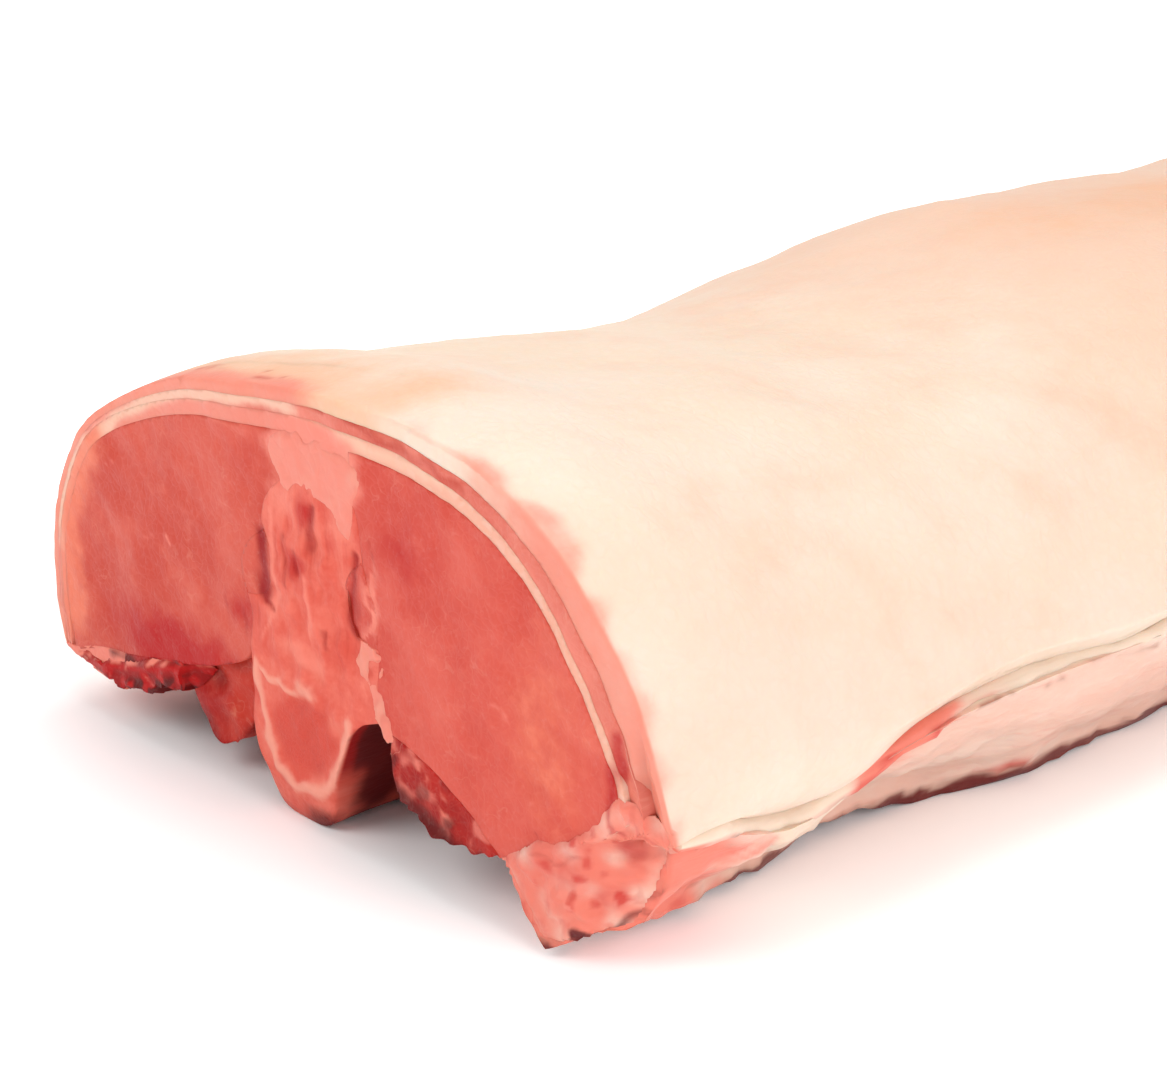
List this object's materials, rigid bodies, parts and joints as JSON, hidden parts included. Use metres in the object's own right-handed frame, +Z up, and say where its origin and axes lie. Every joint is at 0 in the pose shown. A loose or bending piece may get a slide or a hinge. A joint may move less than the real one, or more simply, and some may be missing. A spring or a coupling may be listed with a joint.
{
  "type": "pork loin",
  "caption": "Raw bone-in double pork loin under its fat cover, lying with the fat side up and cut square at both ends.",
  "frame": {"origin": "centre of the bounding box at its base, on the surface that the cut rests on", "axes": "+Y along the backbone away from the shown cut face, +X across to the right, +Z up through the fat cover"},
  "size_m": [0.2762, 0.5, 0.1314],
  "materials": {
    "fat": "moist cream fat with a pink tint",
    "cover_lean": "moist raw lean in a thin sheet",
    "seam_fat": "pale pink seam fat",
    "eye_lean": "moist raw lean, fine grained",
    "dark_lean": "dark moist raw lean",
    "bone": "sawn pink bone with a pale rim",
    "lining": "thin shiny lining over lean and fat",
    "flank": "pale pink flank with lean bits"
  },
  "bodies": {
    "root": {"fat_cover": "fat", "cover_lean": "cover_lean", "seam_fat": "seam_fat", "loin_eye_left": "eye_lean", "loin_eye_right": "eye_lean", "deep_muscle_left": "dark_lean", "deep_muscle_right": "dark_lean", "backbone": "bone", "lining_left": "lining", "lining_right": "lining", "tenderloin_left": "dark_lean", "tenderloin_right": "dark_lean", "flank_left": "flank", "flank_right": "flank"}
  },
  "joints": []
}
